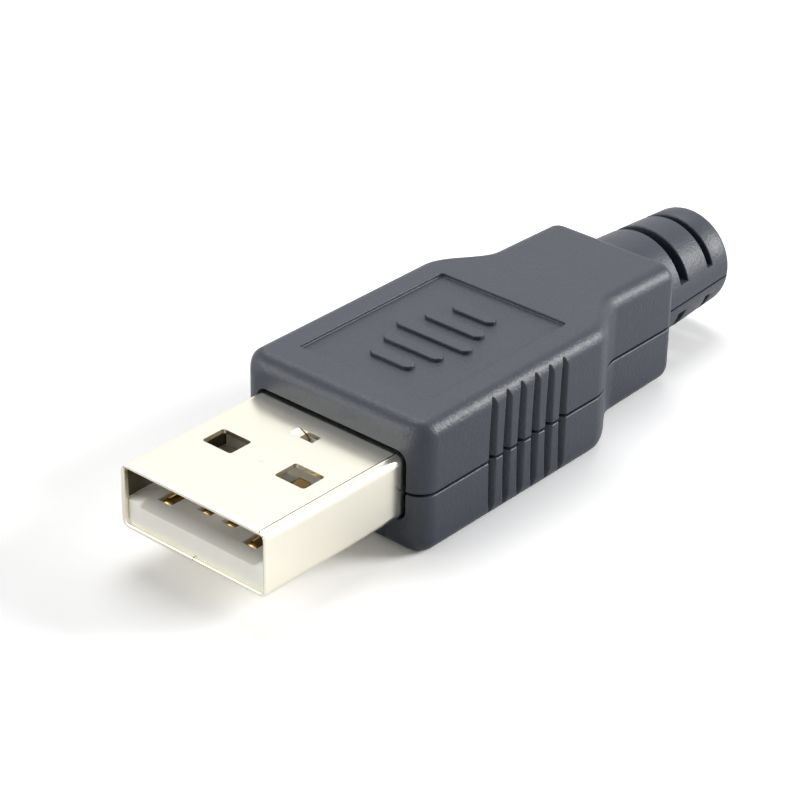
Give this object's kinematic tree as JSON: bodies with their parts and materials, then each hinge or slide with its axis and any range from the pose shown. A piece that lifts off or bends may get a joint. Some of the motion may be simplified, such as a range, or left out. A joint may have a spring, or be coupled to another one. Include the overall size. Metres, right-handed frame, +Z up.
{
  "type": "usb-a plug",
  "caption": "Solder-type USB-A plug: folded metal shell round a contact tongue, in a two-part snap cover with side grip grooves and a slotted strain-relief boot.",
  "frame": {"origin": "on the surface that the cover rests on, below the middle of the plug's overall length", "axes": "+Y from the mouth to the cable entry, +Z up through the roof with the thumb panel, +X across the plug"},
  "size_m": [0.0152, 0.0498, 0.0092],
  "materials": {
    "cover": "black moulded ABS with a fine satin grain",
    "shell": "bright nickel plate on folded steel sheet",
    "insulator": "white moulded nylon",
    "contact": "gold flash on phosphor bronze"
  },
  "bodies": {
    "root": {"cover_top": "cover", "cover_bottom": "cover", "shell": "shell", "insulator": "insulator", "contact_vbus": "contact", "contact_data_minus": "contact", "contact_data_plus": "contact", "contact_gnd": "contact"}
  },
  "joints": []
}
